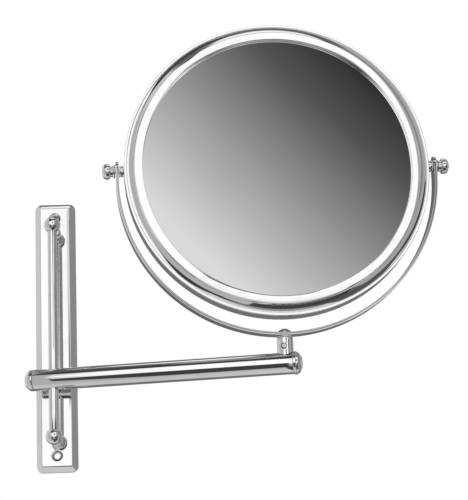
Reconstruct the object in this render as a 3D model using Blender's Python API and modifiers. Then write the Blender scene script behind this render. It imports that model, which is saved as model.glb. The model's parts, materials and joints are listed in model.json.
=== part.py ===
"""Extendable shaving mirror for a bathroom wall.

A pressed wall plate carries an upright guide rod on two ball-ended stand-offs. A tubular arm
slides up and down the rod and swings round it. A swivel post at the arm's far end carries a
U-shaped yoke, and a double-sided round mirror tilts in the yoke.

Metres, +Z up. The wall is the plane y = 0, the front faces -Y, and the origin is the centre of
the wall plate's back.
"""
import math

import bmesh
import bpy
from mathutils import Vector

MM = 0.001
GAP = 0.3 * MM              # clearance between pieces that touch
FRONT = (0, -1, 0)
REAR = (0, 1, 0)

# ---- driving dimensions -------------------------------------------------------------------
PLATE_WIDTH = 30 * MM
PLATE_HEIGHT = 200.8 * MM
PLATE_DEPTH = 7 * MM
PLATE_SKIRT = 2 * MM        # straight side wall before the slope begins
PLATE_SLOPE = 4.2 * MM      # width of the sloping border
PLATE_CORNER = 5.2 * MM
PLATE_SHEET = 1.5 * MM
PRESS_RADIUS = 0.7 * MM
WALL_HOLE_Z = 88.3 * MM
WALL_HOLE_RADIUS = 2.25 * MM
COUNTERSINK_RADIUS = 4.4 * MM
STRIP_WIDTH = 16 * MM
STRIP_HEIGHT = 189 * MM
STRIP_DEPTH = PLATE_DEPTH - PLATE_SHEET - GAP
COUNTERBORE_RADIUS = 4 * MM # for the heads of the stem screws, in the strip's back
COUNTERBORE_DEPTH = 2.5 * MM

ROD_STANDOFF = 32 * MM      # from the wall to the guide rod's axis
ROD_RADIUS = 3.5 * MM
BALL_RADIUS = 6 * MM
BALL_Z = 77 * MM
BALL_BORE_FLOOR = 2.4 * MM  # from the ball's centre to the end of the rod's bore
BALL_REAR_FLAT = 5.2 * MM   # from the ball's centre to the flat that meets the stem
STEM_RADIUS = 3.2 * MM
STEM_FOOT_RADIUS = 4.4 * MM
STEM_SPIGOT_RADIUS = 1.8 * MM
STEM_SCREW_RADIUS = 1.7 * MM
STEM_SCREW_LENGTH = 8 * MM  # the part that is inside the stem
STEM_SCREW_HEAD_RADIUS = 3.4 * MM
STEM_SCREW_SEAT = 2.2 * MM

ARM_Z = -36.5 * MM          # height of the arm at rest
ARM_LENGTH = 168 * MM       # from the guide rod's axis to the swivel axis
ARM_SWING_DEG = 14.0        # the arm stands this far out from the wall at rest
TUBE_RADIUS = 7.6 * MM
TUBE_BORE = 6.4 * MM
TUBE_LEFT = -13.8 * MM
TUBE_RIGHT = ARM_LENGTH + 5.8 * MM
LEFT_CAP_END = -20.8 * MM
RIGHT_CAP_END = ARM_LENGTH + 11.4 * MM
SLEEVE_RADIUS = 5.2 * MM
SLEEVE_HALF = 3.3 * MM
CAP_SPIGOT = 6 * MM
CAP_HOLLOW = 4.3 * MM       # radius of the left cap's bore
CAP_WALL = 2.6 * MM         # thickness of the left cap's end, and depth of its spigot
COLLAR_RADIUS = 8.1 * MM    # the right cap stands a little proud of the tube
COLLAR_WIDTH = 1.5 * MM
RIGHT_DOME_RADIUS = 7.45 * MM
PLUNGER_RADIUS = 5.9 * MM
PLUNGER_SPAN = (4 * MM, 8.5 * MM)
SPRING_SPAN = (9.4 * MM, 17.2 * MM)
SPRING_RADIUS = 3.2 * MM
SPRING_WIRE = 0.5 * MM

POST_RADIUS = 5.7 * MM
POST_TOP = 18.05 * MM       # above the arm's axis
POST_FOOT = 5.2 * MM        # where the sides of the saddle end
SET_SCREW_Z = 11.8 * MM
SET_SCREW_HOLE = 1.9 * MM
SET_SCREW_RADIUS = 1.6 * MM
SET_SCREW_SPAN = (2.6 * MM, 5 * MM)
HEX_RADIUS = 0.85 * MM
HEX_DEPTH = 1.4 * MM
SWIVEL_SCREW_RADIUS = 2.0 * MM
SWIVEL_HEAD_RADIUS = 4.5 * MM
SWIVEL_HEAD_HEIGHT = 2.0 * MM
SWIVEL_TIP = 0.6 * MM
NUT_RADIUS = 3.7 * MM
NUT_SPAN = (1.2 * MM, 4.4 * MM)

PIVOT_Z = 140 * MM          # mirror's tilt axis above the arm's axis
YOKE_YAW_DEG = 15.5         # the yoke turns back by this from the arm's line
MIRROR_TILT_DEG = 2.6       # the front glass looks up by this
YOKE_RADIUS = 113.6 * MM    # middle of the band
YOKE_THICKNESS = 2.1 * MM
YOKE_WIDTH = 11.5 * MM
YOKE_ARC_Z = 133.9 * MM     # centre of the half circle above the arm's axis
YOKE_TOP_Z = PIVOT_Z + 7 * MM
YOKE_BOTTOM = YOKE_ARC_Z - YOKE_RADIUS - YOKE_THICKNESS / 2
YOKE_FLOOR = YOKE_BOTTOM + YOKE_THICKNESS
LOWER_WASHER_RADIUS = 5.2 * MM
UPPER_WASHER_RADIUS = 3.8 * MM
UPPER_WASHER = 0.5 * MM

HOOP_RADIUS = 108.8 * MM
HOOP_SHEET = 2.2 * MM
HOOP_HALF_WIDTH = 4.5 * MM
GLASS_RADIUS = 99.9 * MM
GLASS_FACE = 8.6 * MM
GLASS_BACK = 4.6 * MM
SPACER_RADIUS = 103.5 * MM
REAR_DISH = 2.2 * MM        # depth of the magnifying glass's hollow
PIVOT_BORE = 2.2 * MM
BOSS_RADIUS = 4 * MM
INNER_WASHER_RADIUS = 4.3 * MM
INNER_WASHER = 0.65 * MM
OUTER_WASHER_RADIUS = 4.7 * MM
OUTER_WASHER = 1.2 * MM
STUD_RADIUS = 1.9 * MM
STUD_HEAD_RADIUS = 3.2 * MM
STUD_HEAD = 1.4 * MM
KNOB_RADIUS = 5.55 * MM
KNOB_NECK_RADIUS = 3.9 * MM
KNOB_NECK = 2.2 * MM
KNOB_END = 124.2 * MM
KNOB_EDGE = 0.9 * MM        # size of the knob's rounded edges
KNOB_WALL = 1.9 * MM

# a rim's section in millimetres, as radius and height above the mirror's middle plane:
# the lip and the sloping face, the neck, the cove and its bead, then the inside of the sheet
RIM_SECTION = [
    (95.6, 8.9), (95.6, 11.1), (95.85, 11.3), (101.2, 10.45), (101.7, 10.1), (102.15, 8.9),
    (104.5, 7.15), (107.2, 6.2), (108.0, 6.5), (108.5, 6.4), (108.8, 5.9), (108.8, 4.8),
    (107.8, 4.8), (107.7, 5.35), (104.4, 6.3), (101.6, 7.9), (101.0, 9.5), (96.5, 10.3),
    (96.4, 8.9)]

ROUND_STEPS = 24
RING_STEPS = 48

COLOURS = {
    "chrome": ((0.80, 0.81, 0.82), 0.06, 1.0),
    "mirror": ((0.90, 0.91, 0.92), 0.02, 1.0),
    "steel": ((0.55, 0.56, 0.57), 0.28, 1.0),
    "zinc": ((0.45, 0.46, 0.47), 0.45, 1.0),
    "nylon": ((0.82, 0.81, 0.77), 0.45, 0.0),
    "fibreboard": ((0.30, 0.22, 0.15), 0.80, 0.0),
}


# ---- scene helpers ------------------------------------------------------------------------
def clear_scene():
    for obj in list(bpy.data.objects):
        bpy.data.objects.remove(obj, do_unlink=True)


def collection(name):
    group = bpy.data.collections.new(name)
    bpy.context.scene.collection.children.link(group)
    return group


def material(name, finish):
    colour, roughness, metallic = COLOURS[finish]
    mat = bpy.data.materials.new(name)
    mat.use_nodes = True
    shader = mat.node_tree.nodes["Principled BSDF"]
    shader.inputs["Base Color"].default_value = (*colour, 1.0)
    shader.inputs["Roughness"].default_value = roughness
    shader.inputs["Metallic"].default_value = metallic
    mat.diffuse_color = (*colour, 1.0)
    return mat


def add_object(name, data, parent, location=(0, 0, 0), axis=(0, 0, 1), finish=None):
    """Link an object whose local +Z points along axis in its parent's frame."""
    obj = bpy.data.objects.new(name, data)
    (PARTS if finish else CUTTERS).objects.link(obj)
    obj.parent = parent
    obj.location = location
    obj.rotation_mode = "QUATERNION"
    obj.rotation_quaternion = Vector((0, 0, 1)).rotation_difference(Vector(axis))
    if finish:
        data.materials.append(material(name, finish))
    else:
        obj.hide_render = True
        obj.display_type = "WIRE"
    return obj


def empty(name, parent, location, turn_axis="Z", turn_deg=0.0):
    obj = bpy.data.objects.new(name, None)
    PARTS.objects.link(obj)
    obj.parent = parent
    obj.location = location
    obj.rotation_euler["XYZ".index(turn_axis)] = math.radians(turn_deg)
    return obj


def arc(centre_r, centre_z, radius, start_deg, end_deg, count):
    """Points along an arc, as (radius from the axis, height)."""
    points = []
    for i in range(count + 1):
        angle = math.radians(start_deg + (end_deg - start_deg) * i / count)
        points.append((centre_r + radius * math.cos(angle), centre_z + radius * math.sin(angle)))
    return points


def turned(name, profile, parent, location=(0, 0, 0), axis=(0, 0, 1), finish=None,
           closed=False, steps=ROUND_STEPS):
    """Turn a profile of (radius, height) points round local Z; it runs down its outer side."""
    mesh = bpy.data.meshes.new(name)
    count = len(profile)
    edges = [(i, i + 1) for i in range(count - 1)]
    if closed:
        edges.append((count - 1, 0))
    mesh.from_pydata([(r, 0, z) for r, z in profile], edges, [])
    obj = add_object(name, mesh, parent, location, axis, finish)
    screw = obj.modifiers.new("Turn", "SCREW")
    screw.axis = "Z"
    screw.steps = steps
    screw.render_steps = steps
    screw.use_merge_vertices = True
    screw.merge_threshold = 0.00001
    return obj


def rod(name, radius, low, high, parent, location=(0, 0, 0), axis=(0, 0, 1), finish=None,
        steps=ROUND_STEPS, chamfer=0.0):
    """A plain round bar along axis from low to high, with an optional end chamfer."""
    profile = [(0, high), (radius, high), (radius, low), (0, low)]
    if chamfer:
        profile = [(0, high), (radius - chamfer, high), (radius, high - chamfer),
                   (radius, low + chamfer), (radius - chamfer, low), (0, low)]
    return turned(name, profile, parent, location, axis, finish, steps=steps)


def ring(name, inner, outer, low, high, parent, location=(0, 0, 0), axis=(0, 0, 1),
         finish=None, steps=ROUND_STEPS):
    profile = [(inner, high), (outer, high), (outer, low), (inner, low)]
    return turned(name, profile, parent, location, axis, finish, closed=True, steps=steps)


def cut(obj, *cutters):
    for cutter in cutters:
        step = obj.modifiers.new("Cut", "BOOLEAN")
        step.operation = "DIFFERENCE"
        step.object = cutter
        step.solver = "EXACT"
    return obj


# ---- wall side ----------------------------------------------------------------------------
def wall_plate():
    """A pressed sheet plate: a skirt, a sloping border and a flat face, open at the back."""
    bm = bmesh.new()
    bmesh.ops.create_cube(bm, size=1.0)
    bmesh.ops.scale(bm, vec=(PLATE_WIDTH, PLATE_SKIRT, PLATE_HEIGHT), verts=bm.verts)
    bmesh.ops.translate(bm, vec=(0, -PLATE_SKIRT / 2, 0), verts=bm.verts)
    corners = [e for e in bm.edges if abs((e.verts[0].co - e.verts[1].co).y) > PLATE_SKIRT / 2]
    bmesh.ops.bevel(bm, geom=corners, offset=PLATE_CORNER, segments=4, profile=0.5,
                    affect="EDGES", material=-1)
    bm.normal_update()
    back = [f for f in bm.faces if f.normal.y > 0.9]
    bmesh.ops.delete(bm, geom=back, context="FACES_ONLY")
    front = [f for f in bm.faces if f.normal.y < -0.9]
    bmesh.ops.inset_region(bm, faces=front, thickness=PLATE_SLOPE, use_even_offset=True)
    bmesh.ops.translate(bm, vec=(0, PLATE_SKIRT - PLATE_DEPTH, 0), verts=front[0].verts)
    mesh = bpy.data.meshes.new("wall_plate")
    bm.to_mesh(mesh)
    bm.free()
    plate = add_object("wall_plate", mesh, None, finish="chrome")
    soften = plate.modifiers.new("Press radius", "BEVEL")
    soften.width = PRESS_RADIUS
    soften.segments = 2
    soften.limit_method = "ANGLE"
    soften.angle_limit = math.radians(30)
    wall = plate.modifiers.new("Sheet", "SOLIDIFY")
    wall.thickness = PLATE_SHEET
    wall.offset = -1.0
    wall.use_even_offset = True
    for side, z in (("top", 1), ("bottom", -1)):
        reach = 0.5 * MM
        bottom_radius = COUNTERSINK_RADIUS - PLATE_SHEET
        sink = turned(f"cut_countersink_{side}",
                      [(0, reach), (COUNTERSINK_RADIUS + reach, reach),
                       (bottom_radius - reach, -PLATE_SHEET - reach), (0, -PLATE_SHEET - reach)],
                      None, (0, -PLATE_DEPTH, z * WALL_HOLE_Z), (0, -1, 0), steps=20)
        bore = rod(f"cut_plate_stem_{side}", STEM_SCREW_RADIUS + GAP, 0, 2 * PLATE_DEPTH,
                   None, (0, 0, z * BALL_Z), (0, -1, 0), steps=16)
        cut(plate, sink, bore)
    plate.data.shade_smooth()
    plate.data.set_sharp_from_angle(angle=math.radians(35))


def backing_strip():
    """The cast strip that fills the plate's back and lies on the wall."""
    mesh = bpy.data.meshes.new("backing_strip")
    bm = bmesh.new()
    bmesh.ops.create_cube(bm, size=1.0)
    bmesh.ops.scale(bm, vec=(STRIP_WIDTH, STRIP_DEPTH, STRIP_HEIGHT), verts=bm.verts)
    bmesh.ops.translate(bm, vec=(0, -STRIP_DEPTH / 2, 0), verts=bm.verts)
    bm.to_mesh(mesh)
    bm.free()
    strip = add_object("backing_strip", mesh, None, finish="zinc")
    reach = 1 * MM
    for side, z in (("top", 1), ("bottom", -1)):
        wall_hole = rod(f"cut_wall_hole_{side}", WALL_HOLE_RADIUS, -reach, STRIP_DEPTH + reach,
                        None, (0, 0, z * WALL_HOLE_Z), (0, -1, 0), steps=20)
        shank = STEM_SCREW_RADIUS + GAP
        stepped = turned(f"cut_strip_stem_{side}",
                         [(0, STRIP_DEPTH + reach), (shank, STRIP_DEPTH + reach),
                          (shank, COUNTERBORE_DEPTH), (COUNTERBORE_RADIUS, COUNTERBORE_DEPTH),
                          (COUNTERBORE_RADIUS, -reach), (0, -reach)],
                         None, (0, 0, z * BALL_Z), (0, -1, 0), steps=16)
        cut(strip, wall_hole, stepped)


def stand_off(side, z):
    """A stem screwed on from behind, with a ball on its front that holds the rod's end."""
    at = (0, 0, z * BALL_Z)
    stem_end = ROD_STANDOFF - BALL_REAR_FLAT - GAP
    spigot_end = ROD_STANDOFF - 0.5 * MM
    foot = PLATE_DEPTH + GAP
    screw_bore = STEM_SCREW_RADIUS + GAP
    screw_tip = foot + STEM_SCREW_LENGTH
    cone = 0.6 * MM                 # the drill's and the screw's pointed end
    drilled = screw_tip + 1 * MM
    stem_profile = [
        (0, spigot_end), (STEM_SPIGOT_RADIUS, spigot_end), (STEM_SPIGOT_RADIUS, stem_end),
        (STEM_RADIUS, stem_end), (STEM_RADIUS, foot + 2 * MM),
        (STEM_FOOT_RADIUS, foot + 0.8 * MM), (STEM_FOOT_RADIUS, foot), (screw_bore, foot),
        (screw_bore, drilled), (0, drilled + cone)]
    turned(f"{side}_stem", stem_profile, None, at, FRONT, "chrome", steps=20)
    turned(f"{side}_stem_screw",
           [(0, screw_tip), (STEM_SCREW_RADIUS, screw_tip - cone),
            (STEM_SCREW_RADIUS, STEM_SCREW_SEAT), (STEM_SCREW_HEAD_RADIUS, STEM_SCREW_SEAT),
            (STEM_SCREW_HEAD_RADIUS, 0.8 * MM), (STEM_SCREW_HEAD_RADIUS - cone, 0.4 * MM),
            (0, 0.4 * MM)],
           None, at, FRONT, "steel", steps=16)
    bore = ROD_RADIUS + GAP
    mouth_angle = math.degrees(math.asin(bore / BALL_RADIUS))
    outside = arc(0, 0, BALL_RADIUS, 90, mouth_angle - 90, 10)
    profile = [(0, outside[0][1])] + outside[1:] + [(bore, -BALL_BORE_FLOOR), (0, -BALL_BORE_FLOOR)]
    ball = turned(f"{side}_ball", profile, None, (0, -ROD_STANDOFF, z * BALL_Z), (0, 0, z),
                  "chrome", steps=24)
    socket = rod(f"cut_{side}_socket", STEM_SPIGOT_RADIUS + GAP, -spigot_end - GAP, 0, None, at,
                 REAR, steps=16)
    margin = 1 * MM
    mesh = bpy.data.meshes.new(f"cut_{side}_flat")
    bm = bmesh.new()
    bmesh.ops.create_cube(bm, size=2 * (BALL_RADIUS + margin))
    bm.to_mesh(mesh)
    bm.free()
    flat = add_object(f"cut_{side}_flat", mesh, None,
                      (0, -ROD_STANDOFF + BALL_REAR_FLAT + BALL_RADIUS + margin, z * BALL_Z))
    cut(ball, flat, socket)


def guide_rod():
    half = BALL_Z - BALL_BORE_FLOOR - GAP
    rod("guide_rod", ROD_RADIUS, -half, half, None, (0, -ROD_STANDOFF, 0), finish="chrome",
        chamfer=0.4 * MM)


# ---- arm ----------------------------------------------------------------------------------
def friction_sleeve(slider):
    ring("friction_sleeve", ROD_RADIUS + GAP, SLEEVE_RADIUS, -SLEEVE_HALF, SLEEVE_HALF, slider,
         finish="nylon")


def arm_tube(arm):
    """One straight tube; the guide rod passes through its left end."""
    tube = ring("arm_tube", TUBE_BORE, TUBE_RADIUS, TUBE_LEFT, TUBE_RIGHT, arm, axis=(1, 0, 0),
                finish="chrome", steps=32)
    rod_hole = rod("cut_rod_hole", ROD_RADIUS + 1.5 * GAP, -2 * TUBE_RADIUS, 2 * TUBE_RADIUS, arm)
    screw_hole = rod("cut_post_hole", SWIVEL_SCREW_RADIUS + GAP, 0, 2 * TUBE_RADIUS, arm,
                     (ARM_LENGTH, 0, 0), steps=16)
    cut(tube, rod_hole, screw_hole)


def cap_dome(end, radius, foot):
    """The rounded end of a cap, from its middle out to its side."""
    return [(0, end), (0.38 * radius, end - 0.25 * MM), (0.62 * radius, end - 0.7 * MM),
            (0.84 * radius, end - 1.6 * MM), (0.97 * radius, end - 2.7 * MM), (radius, foot)]


def tension_cap(arm):
    """The left cap: a hollow screw-in cap that presses the spring."""
    start = -TUBE_LEFT + GAP
    end = -LEFT_CAP_END
    spigot_end = start - CAP_WALL
    floor = end - CAP_WALL
    profile = cap_dome(end, TUBE_RADIUS, start + 3.2 * MM) + [
        (TUBE_RADIUS, start), (CAP_SPIGOT, start), (CAP_SPIGOT, spigot_end),
        (CAP_HOLLOW, spigot_end), (CAP_HOLLOW, floor), (0, floor)]
    turned("tension_cap", profile, arm, axis=(-1, 0, 0), finish="chrome", steps=32)


def tension_spring(arm):
    """A coil of even pitch between the plunger and the cap."""
    turns, per_turn = 5, 8
    low, high = SPRING_SPAN
    count = turns * per_turn
    curve = bpy.data.curves.new("tension_spring", "CURVE")
    curve.dimensions = "3D"
    curve.bevel_depth = SPRING_WIRE
    curve.bevel_resolution = 2
    curve.use_fill_caps = True
    spline = curve.splines.new("POLY")
    spline.points.add(count)
    for i, point in enumerate(spline.points):
        angle = math.tau * i / per_turn
        along = low + (high - low) * i / count
        point.co = (SPRING_RADIUS * math.cos(angle), SPRING_RADIUS * math.sin(angle), along, 1)
    add_object("tension_spring", curve, arm, axis=(-1, 0, 0), finish="steel")


def friction_plunger(arm):
    plunger = rod("friction_plunger", PLUNGER_RADIUS, *PLUNGER_SPAN, arm, axis=(-1, 0, 0),
                  finish="nylon", steps=20)
    hug = rod("cut_plunger", SLEEVE_RADIUS + GAP, -TUBE_RADIUS, TUBE_RADIUS, arm)
    cut(plunger, hug)


def end_cap(arm):
    """The right cap: a thin collar and a dome."""
    start = TUBE_RIGHT + GAP
    collar = start + COLLAR_WIDTH
    spigot_end = start - 2 * MM
    profile = cap_dome(RIGHT_CAP_END, RIGHT_DOME_RADIUS, collar) + [
        (COLLAR_RADIUS, collar), (COLLAR_RADIUS, start), (CAP_SPIGOT, start),
        (CAP_SPIGOT, spigot_end), (0, spigot_end)]
    turned("end_cap", profile, arm, axis=(1, 0, 0), finish="chrome", steps=32)


def swivel_post(arm):
    """A short round post that sits astride the tube, with a set screw in its side."""
    at = (ARM_LENGTH, 0, 0)
    side_hole_at = (ARM_LENGTH, 0, SET_SCREW_Z)
    bore = SWIVEL_SCREW_RADIUS + GAP
    edge = 0.3 * MM
    post = turned("swivel_post",
                  [(bore, POST_TOP), (POST_RADIUS - edge, POST_TOP),
                   (POST_RADIUS, POST_TOP - edge), (POST_RADIUS, POST_FOOT), (bore, POST_FOOT)],
                  arm, at, finish="chrome", closed=True, steps=28)
    saddle = rod("cut_saddle", TUBE_RADIUS + GAP, -2 * POST_RADIUS, 2 * POST_RADIUS, arm, at,
                 (1, 0, 0), steps=32)
    side_hole = rod("cut_set_screw", SET_SCREW_HOLE, 0, 2 * POST_RADIUS, arm, side_hole_at,
                    FRONT, steps=16)
    cut(post, saddle, side_hole)
    low, high = SET_SCREW_SPAN
    set_screw = rod("post_set_screw", SET_SCREW_RADIUS, low, high, arm, side_hole_at, FRONT,
                    "steel", steps=16)
    socket = rod("cut_hex_socket", HEX_RADIUS, high - HEX_DEPTH, high + HEX_DEPTH, arm,
                 side_hole_at, FRONT, steps=6)
    cut(set_screw, socket)


def swivel_screw(arm):
    """The dome-headed screw that the yoke turns on, and its nut inside the tube."""
    at = (ARM_LENGTH, 0, 0)
    seat = YOKE_FLOOR + GAP + UPPER_WASHER + GAP
    top = seat + SWIVEL_HEAD_HEIGHT
    turned("swivel_screw",
           [(0, top), (0.4 * SWIVEL_HEAD_RADIUS, top - 0.1 * SWIVEL_HEAD_HEIGHT),
            (0.76 * SWIVEL_HEAD_RADIUS, top - 0.45 * SWIVEL_HEAD_HEIGHT),
            (SWIVEL_HEAD_RADIUS, seat), (SWIVEL_SCREW_RADIUS, seat),
            (SWIVEL_SCREW_RADIUS, SWIVEL_TIP + 0.5 * MM), (0, SWIVEL_TIP)],
           arm, at, finish="chrome", steps=20)
    ring("post_anchor_nut", SWIVEL_SCREW_RADIUS + GAP, NUT_RADIUS, *NUT_SPAN, arm, at,
         finish="steel", steps=6)


# ---- yoke ---------------------------------------------------------------------------------
def extrude_loop(bm, edges, move):
    """Extrude a loop of edges by a vector and return the new loop."""
    grown = bmesh.ops.extrude_edge_only(bm, edges=edges)["geom"]
    verts = [v for v in grown if isinstance(v, bmesh.types.BMVert)]
    bmesh.ops.translate(bm, vec=move, verts=verts)
    far = set(verts)
    return [e for e in grown if isinstance(e, bmesh.types.BMEdge)
            and e.verts[0] in far and e.verts[1] in far]


def yoke(frame):
    """A flat band bent into a U: half a circle, then two upright ends with round tops."""
    bm = bmesh.new()
    section = bmesh.ops.create_grid(bm, x_segments=1, y_segments=1, size=0.5)["verts"]
    bmesh.ops.scale(bm, vec=(YOKE_THICKNESS, YOKE_WIDTH, 1), verts=section)
    bmesh.ops.translate(bm, vec=(-YOKE_RADIUS, 0, YOKE_TOP_Z), verts=section)
    bmesh.ops.delete(bm, geom=bm.faces[:], context="FACES_ONLY")
    outline = bm.edges[:]
    drop = YOKE_TOP_Z - YOKE_ARC_Z
    outline = extrude_loop(bm, outline, (0, 0, -drop))
    turn = bmesh.ops.spin(bm, geom=outline, cent=(0, 0, YOKE_ARC_Z), axis=(0, -1, 0),
                          angle=math.pi, steps=40, use_merge=False, use_duplicate=False)
    outline = [e for e in turn["geom_last"] if isinstance(e, bmesh.types.BMEdge)]
    extrude_loop(bm, outline, (0, 0, drop))
    bmesh.ops.holes_fill(bm, edges=[e for e in bm.edges if e.is_boundary], sides=4)
    bmesh.ops.remove_doubles(bm, verts=bm.verts, dist=0.00001)
    tips = [e for e in bm.edges
            if all(abs(v.co.z - YOKE_TOP_Z) < 0.00001 for v in e.verts)
            and abs((e.verts[0].co - e.verts[1].co).x) > YOKE_THICKNESS / 2]
    bmesh.ops.bevel(bm, geom=tips, offset=YOKE_WIDTH / 2 - 0.15 * MM, segments=6, profile=0.5,
                    affect="EDGES", material=-1)
    bmesh.ops.recalc_face_normals(bm, faces=bm.faces)
    mesh = bpy.data.meshes.new("yoke")
    bm.to_mesh(mesh)
    bm.free()
    band = add_object("yoke", mesh, frame, finish="chrome")
    stud_holes = rod("cut_yoke_studs", PIVOT_BORE + 0.1 * MM, -2 * YOKE_RADIUS, 2 * YOKE_RADIUS,
                     frame, (0, 0, PIVOT_Z), (1, 0, 0), steps=16)
    bore = SWIVEL_SCREW_RADIUS + GAP
    screw_hole = rod("cut_yoke_screw", bore, 0, 2 * YOKE_FLOOR, frame, steps=16)
    cut(band, stud_holes, screw_hole)
    ring("lower_swivel_washer", bore, LOWER_WASHER_RADIUS, POST_TOP + GAP, YOKE_BOTTOM - GAP,
         frame, finish="nylon", steps=20)
    ring("upper_swivel_washer", bore, UPPER_WASHER_RADIUS, YOKE_FLOOR + GAP,
         YOKE_FLOOR + GAP + UPPER_WASHER, frame, finish="steel", steps=20)


# ---- mirror head --------------------------------------------------------------------------


def mirror_hoop(head):
    hoop = ring("mirror_hoop", HOOP_RADIUS - HOOP_SHEET, HOOP_RADIUS, -HOOP_HALF_WIDTH,
                HOOP_HALF_WIDTH, head, axis=FRONT, finish="chrome", steps=RING_STEPS)
    holes = rod("cut_hoop_studs", PIVOT_BORE, -2 * HOOP_RADIUS, 2 * HOOP_RADIUS, head,
                axis=(1, 0, 0), steps=16)
    cut(hoop, holes)


def rim(name, head, facing):
    """A rolled bezel, a neck behind it and a coved flange that closes over the hoop."""
    profile = [(radius * MM, height * MM) for radius, height in RIM_SECTION]
    turned(name, profile, head, axis=facing, finish="chrome", closed=True, steps=RING_STEPS)


def glasses(head):
    rod("front_glass", GLASS_RADIUS, GLASS_BACK, GLASS_FACE, head, axis=FRONT, finish="mirror",
        steps=RING_STEPS)
    sphere = (GLASS_RADIUS ** 2 + REAR_DISH ** 2) / (2 * REAR_DISH)
    centre = GLASS_FACE - REAR_DISH + sphere
    half_angle = math.degrees(math.asin(GLASS_RADIUS / sphere))
    hollow = arc(0, centre, sphere, -90, -90 + half_angle, 6)
    profile = [(0, hollow[0][1])] + hollow[1:] + [(GLASS_RADIUS, GLASS_BACK), (0, GLASS_BACK)]
    turned("rear_glass", profile, head, axis=REAR, finish="mirror", steps=RING_STEPS)
    rod("spacer_disc", SPACER_RADIUS, -GLASS_BACK + GAP, GLASS_BACK - GAP, head, axis=FRONT,
        finish="fibreboard", steps=RING_STEPS)


def pivot(side, sign, head):
    """The stud through the hoop and the yoke, with its spacer, washers and knob."""
    outward = (sign, 0, 0)
    yoke_in = YOKE_RADIUS - YOKE_THICKNESS / 2
    yoke_out = YOKE_RADIUS + YOKE_THICKNESS / 2
    boss_start = HOOP_RADIUS + GAP
    boss_end = yoke_in - 2 * GAP - INNER_WASHER
    washer_end = yoke_out + GAP + OUTER_WASHER
    knob_start = washer_end + GAP
    neck_end = knob_start + KNOB_NECK
    ring(f"{side}_pivot_boss", PIVOT_BORE, BOSS_RADIUS, boss_start, boss_end, head,
         axis=outward, finish="chrome", steps=20)
    ring(f"{side}_inner_washer", PIVOT_BORE, INNER_WASHER_RADIUS, boss_end + GAP, yoke_in - GAP,
         head, axis=outward, finish="nylon", steps=20)
    ring(f"{side}_outer_washer", PIVOT_BORE, OUTER_WASHER_RADIUS, yoke_out + GAP, washer_end,
         head, axis=outward, finish="steel", steps=20)
    head_seat = HOOP_RADIUS - HOOP_SHEET - GAP
    knob_floor = KNOB_END - KNOB_WALL
    stud_end = knob_floor - 0.5 * MM
    turned(f"{side}_pivot_stud",
           [(0, stud_end), (STUD_RADIUS, stud_end - 0.5 * MM), (STUD_RADIUS, head_seat),
            (STUD_HEAD_RADIUS, head_seat), (STUD_HEAD_RADIUS, head_seat - STUD_HEAD),
            (0, head_seat - STUD_HEAD)],
           head, axis=outward, finish="steel", steps=16)
    turned(f"{side}_knob",
           [(0, KNOB_END), (KNOB_RADIUS - 2 * KNOB_EDGE, KNOB_END - 0.15 * MM),
            (KNOB_RADIUS - KNOB_EDGE / 2, KNOB_END - 0.7 * KNOB_EDGE),
            (KNOB_RADIUS, KNOB_END - 2 * KNOB_EDGE), (KNOB_RADIUS, neck_end + KNOB_EDGE),
            (KNOB_RADIUS - KNOB_EDGE, neck_end), (KNOB_NECK_RADIUS, neck_end),
            (KNOB_NECK_RADIUS, knob_start), (PIVOT_BORE, knob_start), (PIVOT_BORE, knob_floor),
            (0, knob_floor)],
           head, axis=outward, finish="chrome", steps=28)


def build():
    wall_plate()
    backing_strip()
    stand_off("top", 1)
    stand_off("bottom", -1)
    guide_rod()

    slider = empty("height_slide_axis", None, (0, -ROD_STANDOFF, ARM_Z))
    arm = empty("arm_swing_axis", slider, (0, 0, 0), "Z", -ARM_SWING_DEG)
    friction_sleeve(slider)
    arm_tube(arm)
    tension_cap(arm)
    tension_spring(arm)
    friction_plunger(arm)
    end_cap(arm)
    swivel_post(arm)
    swivel_screw(arm)

    swivel = empty("yoke_swivel_axis", arm, (ARM_LENGTH, 0, 0), "Z", YOKE_YAW_DEG)
    yoke(swivel)

    head = empty("mirror_tilt_axis", swivel, (0, 0, PIVOT_Z), "X", -MIRROR_TILT_DEG)
    mirror_hoop(head)
    rim("front_rim", head, FRONT)
    rim("rear_rim", head, REAR)
    glasses(head)
    for side, sign in (("left", -1), ("right", 1)):
        pivot(side, sign, head)


clear_scene()
PARTS = collection("extendable_shaving_mirror")
CUTTERS = collection("cutters")
build()
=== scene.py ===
"""The looks of the extendable shaving mirror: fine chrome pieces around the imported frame."""
import math

import bmesh
import bpy
from mathutils import Matrix, Vector
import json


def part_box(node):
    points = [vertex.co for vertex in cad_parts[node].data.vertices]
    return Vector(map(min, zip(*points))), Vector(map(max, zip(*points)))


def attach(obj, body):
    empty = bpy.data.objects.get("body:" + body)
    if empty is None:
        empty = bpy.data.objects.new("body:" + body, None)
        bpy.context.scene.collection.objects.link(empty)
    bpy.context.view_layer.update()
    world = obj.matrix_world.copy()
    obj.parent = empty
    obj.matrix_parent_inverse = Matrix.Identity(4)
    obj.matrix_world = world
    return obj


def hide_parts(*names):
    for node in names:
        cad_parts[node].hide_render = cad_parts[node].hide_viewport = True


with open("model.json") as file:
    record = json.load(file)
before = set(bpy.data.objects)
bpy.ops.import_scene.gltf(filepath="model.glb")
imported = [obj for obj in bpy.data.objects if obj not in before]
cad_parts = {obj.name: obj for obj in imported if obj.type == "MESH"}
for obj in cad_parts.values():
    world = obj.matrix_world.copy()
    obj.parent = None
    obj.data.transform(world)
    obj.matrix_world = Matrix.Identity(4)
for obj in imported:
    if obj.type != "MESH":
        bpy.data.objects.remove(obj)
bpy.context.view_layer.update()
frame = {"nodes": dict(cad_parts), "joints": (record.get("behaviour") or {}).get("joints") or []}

MM = 0.001
UP = Vector((0, 0, 1))
FRONT = (0, -1, 0)
REAR = (0, 1, 0)

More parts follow.
